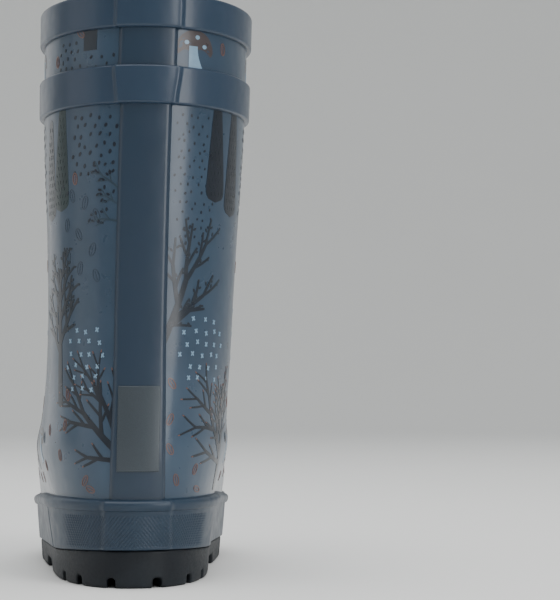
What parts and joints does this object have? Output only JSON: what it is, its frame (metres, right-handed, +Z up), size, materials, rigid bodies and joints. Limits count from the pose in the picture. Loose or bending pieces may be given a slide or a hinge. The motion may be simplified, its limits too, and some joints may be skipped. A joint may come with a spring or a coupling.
{
  "type": "rubber rain boot",
  "caption": "Child's pull-on rubber rain boot for the left foot, with a printed upper, smooth back strip and leg bands, rolled foxing, cleated outsole and loose footbed.",
  "frame": {"origin": "on the ground, under the middle of the heel, on the tread's plain centre", "axes": "+X to the inner side of the foot, +Y to the toe, +Z up the leg"},
  "size_m": [0.0881, 0.1905, 0.225],
  "materials": {
    "sole_rubber": "satin charcoal rubber",
    "filler_rubber": "matt sponge rubber",
    "board_textile": "rubberised textile board",
    "printed_rubber": "glossy lacquered rubber with a woodland print",
    "lining_textile": "cotton jersey",
    "stiffener_rubber": "hard matt rubber",
    "tape_textile": "woven cotton tape",
    "strip_rubber": "glossy lacquered rubber",
    "band_rubber": "glossy lacquered rubber",
    "foxing_rubber": "satin rubber, knurled at the heel",
    "reflective_film": "grey retroreflective film",
    "footbed_foam": "open-cell foam",
    "footbed_textile": "knitted cotton"
  },
  "bodies": {
    "boot": {"outsole": "sole_rubber", "bottom_filler": "filler_rubber", "insole_board": "board_textile", "upper": "printed_rubber", "lining": "lining_textile", "heel_counter": "stiffener_rubber", "toe_puff": "stiffener_rubber", "seam_tape": "tape_textile", "topline_tape": "tape_textile", "back_strip": "strip_rubber", "toe_bumper": "band_rubber", "heel_foxing": "foxing_rubber", "front_foxing": "foxing_rubber", "calf_band": "band_rubber", "topline_band": "band_rubber", "reflective_patch": "reflective_film"},
    "footbed": {"footbed_foam": "footbed_foam", "footbed_cover": "footbed_textile"}
  },
  "joints": [
    {"name": "footbed_lift", "type": "hinge", "parent": "boot", "child": "footbed", "pos_m": [0.007, 0.1397, 0.01712], "axis": [-1, 0, 0], "range_deg": [0, 15]}
  ]
}
